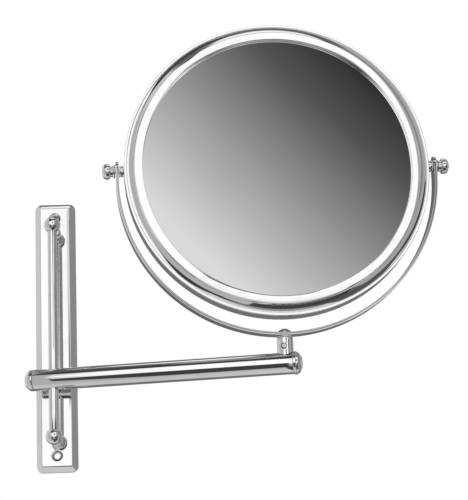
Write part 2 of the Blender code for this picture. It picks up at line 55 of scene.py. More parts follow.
# ---- camera and studio, in metres and degrees -----------------------------------------------
CAMERA_AT = Vector((0.0786, -1.0154, -0.1759))
CAMERA_HEADING = math.radians(3.13)     # to the right of straight at the wall
CAMERA_PITCH = math.radians(13.17)      # looking up
CAMERA_ROLL = math.radians(-2.28)
CAMERA_LENS = 99.36
SUBJECT_AT = Vector((0.14, 0, 0.05))
LAMPS = [("key_light", (-0.9, -1.3, 1.6), 1.4, 9), ("fill_light", (1.4, -0.8, 0.9), 1.6, 4),
         ("back_light", (0.2, 1.5, 1.2), 1.6, 5)]       # name, place, width, watts
FLOOR_AT = (0.14, 0, -0.42)
FLOOR_RADIUS = 25.0
STUDIO_STRENGTH = 1.18
# brightness of the surroundings by angle above the level
ELEVATION_TONES = [(-90, 0.58), (-62, 0.50), (-50, 0.44), (-41, 0.08), (-14, 0.07), (-6, 0.9),
                   (4, 1.0), (50, 1.0), (56, 0.14), (72, 0.10), (80, 0.35), (90, 0.5)]
# flags hung round the set: turn low, turn high, height low, height high, softness, tone
FLAGS = [
    (-135, -78, -60, 60, 6, 0.56),
    (-76, -40, 6, 46, 9, 0.42),
    (-80, -36, -46, 6, 8, 0.42),
    (-62, -10, 44, 80, 2, 0.05),
    (36, 60, -40, 52, 2, 0.38),
    (40, 49, -40, 16, 1, 0.05),
    (60, 87, -40, 60, 4, 0.36),
    (87, 138, -40, 60, 4, 0.24),
    (-1, 11, 7.5, 14, 1, 0.12),
    (-18, 36, -41, -19, 2, 0.26),
    (-18, 20, -17, -6, 2, 0.62),
    (22, 60, -40, -4, 2, 0.08),
    (-15, 70, -85, -43, 3, 0.05),
    (-34, -14, -46, -4, 1.5, 0.045),
    (150, 180, -60, 63, 4, 0.15),
    (-180, -150, -60, 63, 4, 0.15),
    (130, 180, 66, 84, 3, 0.88),
    (-180, -130, 66, 84, 3, 0.88),
]
# the graded flag that the front glass shows, round one direction
GRADE_TURN = 8.5
GRADE_HEIGHT = 21.7
GRADE_SPAN = 5.5
GRADE_REACH = 9.5
GRADE_TONES = [(-1.3, 0.66), (-0.64, 0.425), (0, 0.245), (0.5, 0.132), (0.8, 0.078), (1.35, 0.028)]

# ---- sizes in millimetres, for the outlines -------------------------------------------------
GAP = 0.3                   # between neighbouring pieces
ROUND = 192                 # steps in a full turn of the large rings
# wall bracket
SHEET = 1.5
SKIRT = 2.0
SLOPE = 4.2
PLATE_LIP = 6.6             # from the plate's outline to where its flat face begins
CORNER = 4.6
CORNER_STEPS = 10
WALL_HOLE_Z = 88.3
WALL_HOLE = 2.25
STEM_SCREW_HOLE = 2.0
STEM_RADIUS = 3.2
STEM_FOOT = 4.4
SPIGOT = 1.8
BALL_RADIUS = 6.0
BALL_FLAT = 5.2
BALL_BEYOND_ROD = 2.7
BALL_FLOOR = 2.4
# arm
TUBE_BORE = 6.4
TUBE_LEFT = -13.8
CAP_SPIGOT = 6.0
CAP_HOLLOW = 4.3
LEFT_CAP_END = 20.8
RIGHT_CAP_BEYOND = 11.4     # from the post's axis
TUBE_BEYOND = 5.8
COLLAR = 8.1
POST_RADIUS = 5.7
POST_TOP = 18.05
POST_FOOT = 5.2
SCREW_HOLE = 2.3            # clearance for the swivel screw and the studs
SET_SCREW_Z = 11.8
SET_SCREW_HOLE = 1.9
SET_SCREW_RADIUS = 1.6
SET_SCREW_SPAN = (2.6, 5.0)
SWIVEL_HEAD = 4.5
SWIVEL_DOME = 2.0
SWIVEL_SHANK = 2.0
# yoke
YOKE_BEND = 113.6           # to the middle of the band
YOKE_SHEET = 2.1
YOKE_BAND = 11.5
YOKE_BEND_Z = 133.9         # above the arm's axis
YOKE_BEYOND_PIVOT = 7.0
YOKE_EDGE = 0.85
# mirror head
HOOP = 108.8
HOOP_INSIDE = 106.6
HOOP_HALF = 4.5
GLASS_RADIUS = 99.9
GLASS_FACE = 8.6
GLASS_BACK = 4.6
REAR_DISH = 2.2
PIVOT_BORE = 2.2
BOSS_RADIUS = 4.0
INNER_WASHER = 4.3
OUTER_WASHER = 4.7
KNOB_RADIUS = 5.55
KNOB_NECK = 3.9
KNOB_END = 124.2

# ---- places and sizes, read from the frame --------------------------------------------------
JOINTS = {joint["name"]: joint for joint in frame["joints"]}
ARM_AT = Vector(JOINTS["arm_swing"]["pos_m"])
SWIVEL_AT = Vector(JOINTS["yoke_swivel"]["pos_m"])
PIVOT_AT = Vector(JOINTS["mirror_tilt"]["pos_m"])
ARM_LENGTH = (SWIVEL_AT - ARM_AT).length
MIRROR_TILT = math.radians(-2.6)


def base_matrix(origin, x_axis):
    """A frame at origin whose X runs along x_axis and whose Z is up."""
    x_axis = Vector(x_axis).normalized()
    y_axis = UP.cross(x_axis)
    turn = Matrix((x_axis, y_axis, UP)).transposed()
    return Matrix.Translation(origin) @ turn.to_4x4()


WALL = Matrix.Identity(4)
ARM = base_matrix(ARM_AT, SWIVEL_AT - ARM_AT)
POST = base_matrix(SWIVEL_AT, SWIVEL_AT - ARM_AT)
YOKE = base_matrix(SWIVEL_AT, JOINTS["mirror_tilt"]["axis"])
HEAD = base_matrix(PIVOT_AT, JOINTS["mirror_tilt"]["axis"]) @ Matrix.Rotation(MIRROR_TILT, 4, "X")
PIVOT_Z = (PIVOT_AT - SWIVEL_AT).z

rod_low, rod_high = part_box("guide_rod")
ROD = (rod_high.x - rod_low.x) / 2 / MM
plate_low, plate_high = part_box("wall_plate")
PLATE_WIDTH = plate_high.x - plate_low.x
PLATE_HEIGHT = plate_high.z - plate_low.z
PLATE_DEPTH = plate_high.y - plate_low.y
tube_low, tube_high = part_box("arm_tube")
TUBE = (tube_high.z - tube_low.z) / 2 / MM
TUBE_RIGHT = ARM_LENGTH / MM + TUBE_BEYOND
BALL_Z = rod_high.z + BALL_BEYOND_ROD * MM
BALL_AT = {side: Vector((0, (rod_low.y + rod_high.y) / 2, z)) for side, z in
           (("top", BALL_Z), ("bottom", -BALL_Z))}
YOKE_RADIUS = YOKE_BEND * MM
YOKE_THICKNESS = YOKE_SHEET * MM
YOKE_WIDTH = YOKE_BAND * MM
YOKE_ARC_Z = YOKE_BEND_Z * MM
YOKE_TOP_Z = PIVOT_Z + YOKE_BEYOND_PIVOT * MM


# ---- mesh helpers ---------------------------------------------------------------------------
def along(base, axis, at=(0, 0, 0)):
    """A frame inside base whose Z points along axis."""
    turn = UP.rotation_difference(Vector(axis)).to_matrix().to_4x4()
    return base @ Matrix.Translation(Vector(at)) @ turn


def finish_mesh(name, bm, place, sharp_deg=35):
    """Write a bmesh in place, face it outwards and shade it smooth."""
    bmesh.ops.transform(bm, matrix=place, verts=bm.verts)
    bmesh.ops.recalc_face_normals(bm, faces=bm.faces)
    mesh = bpy.data.meshes.new(name)
    bm.to_mesh(mesh)
    bm.free()
    mesh.shade_smooth()
    mesh.set_sharp_from_angle(angle=math.radians(sharp_deg))
    obj = bpy.data.objects.new(name, mesh)
    bpy.context.scene.collection.objects.link(obj)
    return obj


def rounded(points, segments=4):
    """Round the corners of a (radius, height, fillet) outline; all lengths in millimetres."""
    outline = []
    count = len(points)
    for i, (r, z, fillet) in enumerate(points):
        here = Vector((r, z))
        if not fillet:
            outline.append(here)
            continue
        before = Vector(points[i - 1][:2]) - here
        after = Vector(points[(i + 1) % count][:2]) - here
        half = before.angle(after) / 2
        reach = min(fillet / math.tan(half), before.length * 0.49, after.length * 0.49)
        radius = reach * math.tan(half)
        start = here + before.normalized() * reach
        end = here + after.normalized() * reach
        centre = here + (before.normalized() + after.normalized()).normalized() * (
            radius / math.sin(half))
        first = start - centre
        last = end - centre
        sweep = first.angle_signed(last)
        for k in range(segments + 1):
            spoke = first.copy()
            spoke.rotate(Matrix.Rotation(-sweep * k / segments, 2))
            outline.append(centre + spoke)
    return outline


def lathe(name, points, place, closed=False, steps=64, segments=4, sharp_deg=40):
    """Spin an outline of (radius, height, fillet) in millimetres round Z."""
    outline = rounded(points, segments)
    bm = bmesh.new()
    verts = [bm.verts.new((p.x * MM, 0, p.y * MM)) for p in outline]
    edges = [bm.edges.new(pair) for pair in zip(verts, verts[1:])]
    if closed:
        edges.append(bm.edges.new((verts[-1], verts[0])))
    bmesh.ops.spin(bm, geom=verts + edges, cent=(0, 0, 0), axis=(0, 0, 1), angle=math.tau,
                   steps=steps, use_merge=True)
    bmesh.ops.remove_doubles(bm, verts=bm.verts, dist=0.000001)
    return finish_mesh(name, bm, place, sharp_deg)


def cutter(name, points, place, steps=32):
    """A closed turned body that cuts a hole and isn't shown."""
    return lathe(name, points, place, steps=steps)


def apply_cuts(piece, cutters):
    """Cut the holes into the mesh and drop the cutters."""
    for tool in cutters:
        step = piece.modifiers.new("Cut", "BOOLEAN")
        step.operation = "DIFFERENCE"
        step.object = tool
        step.solver = "EXACT"
    bpy.context.view_layer.update()
    graph = bpy.context.evaluated_depsgraph_get()
    mesh = bpy.data.meshes.new_from_object(piece.evaluated_get(graph))
    piece.modifiers.clear()
    piece.data = mesh
    for tool in cutters:
        bpy.data.objects.remove(tool, do_unlink=True)
    mesh.set_sharp_from_angle(angle=math.radians(35))


def drill(radius, low, high):
    """Outline of a plain drill in millimetres."""
    return [(0, high, 0), (radius, high, 0), (radius, low, 0), (0, low, 0)]


# ---- shader groups --------------------------------------------------------------------------
def new_group(name, inputs, outputs):
    """An empty shader group with its sockets, and its two end nodes."""
    group = bpy.data.node_groups.new(name, "ShaderNodeTree")
    for label, kind, default in inputs:
        socket = group.interface.new_socket(label, in_out="INPUT", socket_type=kind)
        if default is not None:
            socket.default_value = default
    for label, kind in outputs:
        group.interface.new_socket(label, in_out="OUTPUT", socket_type=kind)
    return group, group.nodes.new("NodeGroupInput"), group.nodes.new("NodeGroupOutput")


def handling_marks_group():
    """Faint cloudy patches left by wiping: a roughness between Clean and Wiped."""
    group, given, out = new_group(
        "handling_marks",
        [("Vector", "NodeSocketVector", None), ("Scale", "NodeSocketFloat", 30.0),
         ("Clean", "NodeSocketFloat", 0.03), ("Wiped", "NodeSocketFloat", 0.1)],
        [("Roughness", "NodeSocketFloat"), ("Mask", "NodeSocketFloat")])
    link = group.links.new
    cloud = group.nodes.new("ShaderNodeTexNoise")
    cloud.inputs["Detail"].default_value = 5.0
    cloud.inputs["Roughness"].default_value = 0.62
    cloud.inputs["Distortion"].default_value = 0.8
    link(given.outputs["Vector"], cloud.inputs["Vector"])
    link(given.outputs["Scale"], cloud.inputs["Scale"])
    spread = group.nodes.new("ShaderNodeMapRange")
    spread.interpolation_type = "SMOOTHSTEP"
    spread.inputs["From Min"].default_value = 0.42
    spread.inputs["From Max"].default_value = 0.72
    link(cloud.outputs["Fac"], spread.inputs["Value"])
    mix = group.nodes.new("ShaderNodeMix")
    mix.data_type = "FLOAT"
    link(spread.outputs["Result"], mix.inputs[0])
    link(given.outputs["Clean"], mix.inputs[2])
    link(given.outputs["Wiped"], mix.inputs[3])
    link(mix.outputs[0], out.inputs["Roughness"])
    link(spread.outputs["Result"], out.inputs["Mask"])
    return group


def polish_lines_group():
    """Hair-fine lines that polishing leaves along one axis, as a height."""
    group, given, out = new_group(
        "polish_lines",
        [("Vector", "NodeSocketVector", None), ("Stretch", "NodeSocketVector", (1, 1, 1)),
         ("Scale", "NodeSocketFloat", 900.0)],
        [("Height", "NodeSocketFloat")])
    link = group.links.new
    stretch = group.nodes.new("ShaderNodeVectorMath")
    stretch.operation = "MULTIPLY"
    link(given.outputs["Vector"], stretch.inputs[0])
    link(given.outputs["Stretch"], stretch.inputs[1])
    lines = group.nodes.new("ShaderNodeTexNoise")
    lines.inputs["Detail"].default_value = 3.0
    lines.inputs["Roughness"].default_value = 0.55
    link(stretch.outputs[0], lines.inputs["Vector"])
    link(given.outputs["Scale"], lines.inputs["Scale"])
    link(lines.outputs["Fac"], out.inputs["Height"])
    return group


def specks_group():
    """Sparse dust and water specks as a mask."""
    group, given, out = new_group(
        "specks",
        [("Vector", "NodeSocketVector", None), ("Scale", "NodeSocketFloat", 400.0),
         ("Size", "NodeSocketFloat", 0.12)],
        [("Mask", "NodeSocketFloat")])
    link = group.links.new
    cells = group.nodes.new("ShaderNodeTexVoronoi")
    link(given.outputs["Vector"], cells.inputs["Vector"])
    link(given.outputs["Scale"], cells.inputs["Scale"])
    near = group.nodes.new("ShaderNodeMath")
    near.operation = "LESS_THAN"
    link(cells.outputs["Distance"], near.inputs[0])
    link(given.outputs["Size"], near.inputs[1])
    pick = group.nodes.new("ShaderNodeSeparateColor")
    link(cells.outputs["Color"], pick.inputs["Color"])
    few = group.nodes.new("ShaderNodeMath")
    few.operation = "GREATER_THAN"
    few.inputs[1].default_value = 0.93
    link(pick.outputs["Red"], few.inputs[0])
    both = group.nodes.new("ShaderNodeMath")
    both.operation = "MULTIPLY"
    link(near.outputs[0], both.inputs[0])
    link(few.outputs[0], both.inputs[1])
    link(both.outputs[0], out.inputs["Mask"])
    return group


MARKS = handling_marks_group()
LINES = polish_lines_group()
SPECKS = specks_group()


def placed_group(mat, group, coords, **values):
    """Place a group in a material on Object coordinates, with its own values."""
    node = mat.node_tree.nodes.new("ShaderNodeGroup")
    node.node_tree = group
    mat.node_tree.links.new(coords, node.inputs["Vector"])
    for label, value in values.items():
        node.inputs[label].default_value = value
    return node


def bare_material(name, roughness, metallic):
    """A material, its shader and the Object coordinates that its patterns read."""
    mat = bpy.data.materials.new(name)
    mat.use_nodes = True
    shader = mat.node_tree.nodes["Principled BSDF"]
    shader.inputs["Roughness"].default_value = roughness
    shader.inputs["Metallic"].default_value = metallic
    coords = mat.node_tree.nodes.new("ShaderNodeTexCoord").outputs["Object"]
    return mat, shader, coords


def mix_colour(mat, mask, first, second):
    """Two colours blended by a mask."""
    mix = mat.node_tree.nodes.new("ShaderNodeMix")
    mix.data_type = "RGBA"
    mat.node_tree.links.new(mask, mix.inputs[0])
    mix.inputs[6].default_value = (*first, 1)
    mix.inputs[7].default_value = (*second, 1)
    return mix.outputs[2]


def add_bump(mat, shader, height, strength, distance):
    """Turn a height into the shader's normal."""
    bump = mat.node_tree.nodes.new("ShaderNodeBump")
    bump.inputs["Strength"].default_value = strength
    bump.inputs["Distance"].default_value = distance
    mat.node_tree.links.new(height, bump.inputs["Height"])
    mat.node_tree.links.new(bump.outputs["Normal"], shader.inputs["Normal"])


def chrome(name, stretch, clean=0.025, wiped=0.075, marks=26.0, line_bump=0.02, tone=0.84):
    """Polished chrome plating: cool, near-mirror, with wipe marks, specks and polish lines."""
    mat, shader, coords = bare_material(name, clean, 1.0)
    link = mat.node_tree.links.new
    wipe = placed_group(mat, MARKS, coords, Scale=marks, Clean=clean, Wiped=wiped)
    specks = placed_group(mat, SPECKS, coords, Scale=330.0, Size=0.07)
    # tone sets the plating's brightness; a tone under the default 0.84 is painted shade in the
    # chrome
    plating = mix_colour(mat, wipe.outputs["Mask"], (tone, tone + 0.005, tone + 0.01),
                         (tone - 0.05, tone - 0.045, tone - 0.04))
    dust = mat.node_tree.nodes.new("ShaderNodeMix")
    dust.data_type = "RGBA"
    link(specks.outputs["Mask"], dust.inputs[0])
    link(plating, dust.inputs[6])
    dust.inputs[7].default_value = (0.74 * tone, 0.74 * tone, 0.73 * tone, 1)
    link(dust.outputs[2], shader.inputs["Base Color"])
    link(wipe.outputs["Roughness"], shader.inputs["Roughness"])
    lines = placed_group(mat, LINES, coords, Stretch=stretch, Scale=700.0)
    add_bump(mat, shader, lines.outputs["Height"], line_bump, 0.00002)
    return mat


def silvered_glass(name):
    """Mirror glass: silver behind polished glass, with the faintest fingerprints."""
    mat, shader, coords = bare_material(name, 0.01, 1.0)
    link = mat.node_tree.links.new
    wipe = placed_group(mat, MARKS, coords, Scale=14.0, Clean=0.006, Wiped=0.02)
    tone = mix_colour(mat, wipe.outputs["Mask"], (0.90, 0.905, 0.905), (0.88, 0.885, 0.885))
    link(tone, shader.inputs["Base Color"])
    link(wipe.outputs["Roughness"], shader.inputs["Roughness"])
    return mat


def glass_edge(name):
    """The ground and polished edge of the glass, green in its depth."""
    mat, shader, coords = bare_material(name, 0.12, 0.6)
    link = mat.node_tree.links.new
    wipe = placed_group(mat, MARKS, coords, Scale=60.0, Clean=0.06, Wiped=0.2)
    tone = mix_colour(mat, wipe.outputs["Mask"], (0.52, 0.60, 0.57), (0.42, 0.52, 0.48))
    link(tone, shader.inputs["Base Color"])
    link(wipe.outputs["Roughness"], shader.inputs["Roughness"])
    return mat


def plated_steel(name):
    """Zinc-plated steel of small fixings: satin, blotchy, with turning lines."""
    mat, shader, coords = bare_material(name, 0.3, 1.0)
    link = mat.node_tree.links.new
    wipe = placed_group(mat, MARKS, coords, Scale=160.0, Clean=0.22, Wiped=0.42)
    tone = mix_colour(mat, wipe.outputs["Mask"], (0.62, 0.63, 0.64), (0.50, 0.51, 0.50))
    link(tone, shader.inputs["Base Color"])
    link(wipe.outputs["Roughness"], shader.inputs["Roughness"])
    lines = placed_group(mat, LINES, coords, Stretch=(1, 1, 6), Scale=1400.0)
    add_bump(mat, shader, lines.outputs["Height"], 0.25, 0.00004)
    return mat


def cast_zinc(name):
    """Raw die casting: dull grey with a fine grain and flow marks."""
    mat, shader, coords = bare_material(name, 0.5, 0.9)
    link = mat.node_tree.links.new
    flow = placed_group(mat, MARKS, coords, Scale=45.0, Clean=0.42, Wiped=0.6)
    tone = mix_colour(mat, flow.outputs["Mask"], (0.47, 0.48, 0.49), (0.36, 0.37, 0.38))
    link(tone, shader.inputs["Base Color"])
    link(flow.outputs["Roughness"], shader.inputs["Roughness"])
    grain = placed_group(mat, LINES, coords, Stretch=(1, 1, 1), Scale=2200.0)
    add_bump(mat, shader, grain.outputs["Height"], 0.4, 0.00008)
    return mat


def moulded_nylon(name):
    """Natural nylon: milky, soft-edged gloss, a fine moulded skin."""
    mat, shader, coords = bare_material(name, 0.4, 0.0)
    shader.inputs["Subsurface Weight"].default_value = 0.15
    shader.inputs["Subsurface Scale"].default_value = 0.002
    link = mat.node_tree.links.new
    skin = placed_group(mat, MARKS, coords, Scale=220.0, Clean=0.34, Wiped=0.5)
    tone = mix_colour(mat, skin.outputs["Mask"], (0.80, 0.79, 0.74), (0.74, 0.73, 0.67))
    link(tone, shader.inputs["Base Color"])
    link(skin.outputs["Roughness"], shader.inputs["Roughness"])
    grain = placed_group(mat, LINES, coords, Stretch=(1, 1, 1), Scale=3000.0)
    add_bump(mat, shader, grain.outputs["Height"], 0.3, 0.00004)
    return mat


def pressed_board(name):
    """Brown fibreboard with visible fibres."""
    mat, shader, coords = bare_material(name, 0.85, 0.0)
    link = mat.node_tree.links.new
    fibres = placed_group(mat, MARKS, coords, Scale=400.0, Clean=0.8, Wiped=0.95)
    tone = mix_colour(mat, fibres.outputs["Mask"], (0.30, 0.21, 0.13), (0.20, 0.13, 0.08))
    link(tone, shader.inputs["Base Color"])
    grain = placed_group(mat, LINES, coords, Stretch=(1, 8, 1), Scale=500.0)
    add_bump(mat, shader, grain.outputs["Height"], 0.6, 0.0002)
    return mat


PLATE_CHROME = chrome("plate_chrome", (6, 1, 0.4), marks=22.0)
TURNED_CHROME = chrome("turned_chrome", (1, 1, 5), clean=0.02, wiped=0.06, marks=60.0)
TUBE_CHROME = chrome("tube_chrome", (0.3, 4, 4), marks=30.0)
# the yoke's band is the same chrome with its tone lowered to 0.55: painted shade that greys its
# reflections
SHADED_BAND_CHROME = chrome("band_chrome_painted_shade", (0.5, 5, 0.5), marks=40.0, tone=0.55)
RIM_CHROME = chrome("rim_chrome", (1, 1, 1), clean=0.02, wiped=0.055, marks=30.0)
MIRROR_GLASS = silvered_glass("mirror_glass")
GLASS_EDGE = glass_edge("glass_edge")
STEEL = plated_steel("plated_steel")
ZINC = cast_zinc("cast_zinc")
NYLON = moulded_nylon("moulded_nylon")
BOARD = pressed_board("pressed_board")


def dress(piece, mat, body, slot, *nodes):
    """Give a finished piece its material and body, and hide the nodes it stands for; slot is not
    used.
    """
    if not piece.data.materials:
        piece.data.materials.append(mat)
    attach(piece, body)
    if nodes:
        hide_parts(*nodes)


# ---- camera and studio ----------------------------------------------------------------------
def add_camera():
    """The camera, level heading first, then its pitch and roll."""
    data = bpy.data.cameras.new("camera")
    data.lens = CAMERA_LENS
    data.sensor_width = 36.0
    data.clip_start = 0.02
    data.clip_end = 50.0
    camera = bpy.data.objects.new("camera", data)
    bpy.context.scene.collection.objects.link(camera)
    forward = Vector((math.sin(CAMERA_HEADING) * math.cos(CAMERA_PITCH),
                      math.cos(CAMERA_HEADING) * math.cos(CAMERA_PITCH),
                      math.sin(CAMERA_PITCH)))
    right = forward.cross(UP).normalized()
    above = right.cross(forward)
    roll = Matrix.Rotation(CAMERA_ROLL, 4, "Z")
    turn = Matrix((right, above, -forward)).transposed().to_4x4()
    camera.matrix_world = Matrix.Translation(CAMERA_AT) @ turn @ roll
    bpy.context.scene.camera = camera


def ramp_node(tree, stops, low, high):
    """A grey ramp whose stops are (place between low and high, brightness)."""
    node = tree.nodes.new("ShaderNodeValToRGB")
    ramp = node.color_ramp
    while len(ramp.elements) > 1:
        ramp.elements.remove(ramp.elements[-1])
    for i, (spot, value) in enumerate(stops):
        place = (spot - low) / (high - low)
        element = ramp.elements.new(place) if i else ramp.elements[0]
        element.position = place
        element.color = (value, value, value, 1)
    return node


def studio_world():
    """White surroundings with dark flags that only reflections see."""
    world = bpy.data.worlds.new("studio")
    world.use_nodes = True
    bpy.context.scene.world = world
    tree = world.node_tree
    tree.nodes.clear()
    link = tree.links.new

    def maths(operation, first, second=None):
        node = tree.nodes.new("ShaderNodeMath")
        node.operation = operation
        for socket, value in zip(node.inputs, (first, second)):
            if value is None:
                continue
            if isinstance(value, (int, float)):
                socket.default_value = value
            else:
                link(value, socket)
        return node.outputs[0]

    def smooth(value, start, end):
        node = tree.nodes.new("ShaderNodeMapRange")
        node.interpolation_type = "SMOOTHSTEP"
        node.inputs["From Min"].default_value = start
        node.inputs["From Max"].default_value = end
        link(value, node.inputs["Value"])
        return node.outputs["Result"]

    coords = tree.nodes.new("ShaderNodeTexCoord")
    split = tree.nodes.new("ShaderNodeSeparateXYZ")
    link(coords.outputs["Generated"], split.inputs[0])
    to_degrees = math.degrees(1)
    height = maths("MULTIPLY", maths("ARCSINE", split.outputs["Z"]), to_degrees)
    ahead = maths("MULTIPLY", split.outputs["Y"], -1.0)
    turn = maths("MULTIPLY", maths("ARCTAN2", split.outputs["X"], ahead), to_degrees)

    def window(value, low, high, soft):
        """1 between low and high, fading over soft degrees outside."""
        rise = smooth(value, low - soft, low)
        fall = smooth(value, high + soft, high)
        return maths("MULTIPLY", rise, fall)

    def patch(turn_low, turn_high, height_low, height_high, soft):
        """A soft-edged window in both directions."""
        return maths("MULTIPLY", window(turn, turn_low, turn_high, soft),
                     window(height, height_low, height_high, soft))

    elevation = ramp_node(tree, ELEVATION_TONES, -90, 90)
    link(maths("DIVIDE", maths("ADD", height, 90.0), 180.0), elevation.inputs["Fac"])
    light = elevation.outputs["Color"]
    for turn_low, turn_high, height_low, height_high, soft, tone in FLAGS:
        mask = patch(turn_low, turn_high, height_low, height_high, soft)
        mix = tree.nodes.new("ShaderNodeMix")
        mix.data_type = "RGBA"
        link(mask, mix.inputs[0])
        link(light, mix.inputs[6])
        mix.inputs[7].default_value = (tone, tone, tone, 1)
        light = mix.outputs[2]
    # the graded flag: pale low on the left, dark high on the right
    slope = maths("ADD", maths("MULTIPLY", maths("SUBTRACT", turn, GRADE_TURN), 1 / GRADE_SPAN),
                  maths("MULTIPLY", maths("SUBTRACT", height, GRADE_HEIGHT), 1 / GRADE_SPAN))
    shade = ramp_node(tree, GRADE_TONES, -2, 2)
    link(maths("DIVIDE", maths("ADD", slope, 2.0), 4.0), shade.inputs["Fac"])
    area = patch(GRADE_TURN - GRADE_REACH, GRADE_TURN + GRADE_REACH, GRADE_HEIGHT - GRADE_REACH,
                 GRADE_HEIGHT + GRADE_REACH + 1.0, 4.0)
    over = tree.nodes.new("ShaderNodeMix")
    over.data_type = "RGBA"
    link(area, over.inputs[0])
    link(light, over.inputs[6])
    link(shade.outputs["Color"], over.inputs[7])
    reflected = tree.nodes.new("ShaderNodeBackground")
    reflected.inputs["Strength"].default_value = STUDIO_STRENGTH
    link(over.outputs[2], reflected.inputs["Color"])
    seen = tree.nodes.new("ShaderNodeBackground")
    seen.inputs["Color"].default_value = (1, 1, 1, 1)
    path = tree.nodes.new("ShaderNodeLightPath")
    choose = tree.nodes.new("ShaderNodeMixShader")
    plain = maths("MAXIMUM", path.outputs["Is Camera Ray"], path.outputs["Is Diffuse Ray"])
    link(plain, choose.inputs[0])
    link(reflected.outputs[0], choose.inputs[1])
    link(seen.outputs[0], choose.inputs[2])
    out = tree.nodes.new("ShaderNodeOutputWorld")
    link(choose.outputs[0], out.inputs["Surface"])


def soft_light(name, at, size, power):
    """A large lamp that lights surfaces but isn't seen in the chrome."""
    data = bpy.data.lights.new(name, "AREA")
    data.shape = "DISK"
    data.size = size
    data.energy = power
    lamp = bpy.data.objects.new(name, data)
    bpy.context.scene.collection.objects.link(lamp)
    lamp.location = at
    aim = SUBJECT_AT - Vector(at)
    lamp.rotation_mode = "QUATERNION"
    lamp.rotation_quaternion = aim.to_track_quat("-Z", "Y")
    lamp.visible_glossy = False
    lamp.visible_camera = False


def pale_floor():
    """A wide pale floor under the set, not seen in the chrome."""
    bm = bmesh.new()
    bmesh.ops.create_circle(bm, cap_ends=True, segments=96, radius=FLOOR_RADIUS)
    mat, shader, _ = bare_material("floor_paint", 0.7, 0.0)
    shader.inputs["Base Color"].default_value = (0.90, 0.90, 0.90, 1)
    floor = finish_mesh("floor", bm, Matrix.Translation(FLOOR_AT))
    floor.data.materials.append(mat)
    floor.visible_glossy = False


add_camera()
bpy.context.scene.view_settings.view_transform = "Standard"
studio_world()
for lamp_name, lamp_at, lamp_width, watts in LAMPS:
    soft_light(lamp_name, lamp_at, lamp_width, watts)
pale_floor()


# ---- wall side ------------------------------------------------------------------------------
def plate_spot(station, inset, depth):
    """A place on a rounded rectangle, inset from the plate's outline, in front of the wall."""
    inset *= MM
    radius = max(CORNER * MM - inset, 0.45 * MM)
    quarter, step = divmod(station, CORNER_STEPS + 1)
    side, end = ((1, 1), (-1, 1), (-1, -1), (1, -1))[quarter]
    angle = (quarter + step / CORNER_STEPS) * math.pi / 2
    return (side * (PLATE_WIDTH / 2 - inset - radius) + radius * math.cos(angle), -depth * MM,
            end * (PLATE_HEIGHT / 2 - inset - radius) + radius * math.sin(angle))


def wall_plate():
    """Pressed sheet: straight skirt, sloping border, flat face, all with rolled edges."""
    front = PLATE_DEPTH / MM
    inside = front - SHEET
    section = [(PLATE_LIP, inside, 0), (SLOPE + 0.9, inside, 0.8), (SHEET, SKIRT - 0.55, 0.4),
               (SHEET, 0, 0), (0, 0, 0.2), (0, SKIRT, 1.5), (SLOPE, front, 1.3),
               (PLATE_LIP, front, 0)]
    bm = bmesh.new()
    station = bm.verts.layers.int.new("station")
    first, *others = rounded(section, 5)
    verts = [bm.verts.new(plate_spot(i, *first)) for i in range(4 * (CORNER_STEPS + 1))]
    for i, vert in enumerate(verts):
        vert[station] = i
    loop = [bm.edges.new(pair) for pair in zip(verts, verts[1:] + verts[:1])]
    inner = loop
    for point in others:
        grown = bmesh.ops.extrude_edge_only(bm, edges=loop)["geom"]
        loop = [item for item in grown if isinstance(item, bmesh.types.BMEdge) and item.is_boundary]
        for vert in {vert for edge in loop for vert in edge.verts}:
            vert.co = plate_spot(vert[station], *point)
    bmesh.ops.holes_fill(bm, edges=inner + loop)
    plate = finish_mesh("wall_plate_skin", bm, WALL, 50)
    cutters = []
    for sign in (1, -1):
        hole = along(WALL, FRONT, (0, -PLATE_DEPTH, sign * WALL_HOLE_Z * MM))
        cutters.append(cutter("cut_countersink",
                              [(0, 0.5, 0), (4.9, 0.5, 0), (4.15, -0.25, 0), (2.7, -2.0, 0),
                               (0, -2.0, 0)], hole, steps=48))
        stem = along(WALL, FRONT, (0, 0, sign * BALL_Z))
        cutters.append(cutter("cut_stem_hole", drill(STEM_SCREW_HOLE, 0, 2 * front), stem))
    apply_cuts(plate, cutters)
    dress(plate, PLATE_CHROME, "wall_bracket", "chrome_plate", "wall_plate")


def backing_strip():
    """Cast strip with soft edges, its screw holes and counterbores."""
    low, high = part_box("backing_strip")
    size = high - low
    bm = bmesh.new()
    bmesh.ops.create_cube(bm, size=1.0)
    bmesh.ops.scale(bm, vec=size, verts=bm.verts)
    bmesh.ops.translate(bm, vec=(low + high) / 2, verts=bm.verts)
    bmesh.ops.bevel(bm, geom=bm.edges[:], offset=0.6 * MM, segments=3, profile=0.5,
                    affect="EDGES", material=-1)
    strip = finish_mesh("backing_strip_casting", bm, WALL, 60)
    cutters = []
    depth = size.y / MM
    for sign in (1, -1):
        hole = along(WALL, FRONT, (0, 0, sign * WALL_HOLE_Z * MM))
        cutters.append(cutter("cut_wall_hole", drill(WALL_HOLE, -1, depth + 1), hole))
        stem = along(WALL, FRONT, (0, 0, sign * BALL_Z))
        cutters.append(cutter("cut_head_hole",
                              [(0, depth + 1, 0), (STEM_SCREW_HOLE, depth + 1, 0),
                               (STEM_SCREW_HOLE, 2.5, 0), (4.0, 2.5, 0), (4.0, -1, 0),
                               (0, -1, 0)], stem))
    apply_cuts(strip, cutters)
    dress(strip, ZINC, "wall_bracket", "zinc_casting", "backing_strip")


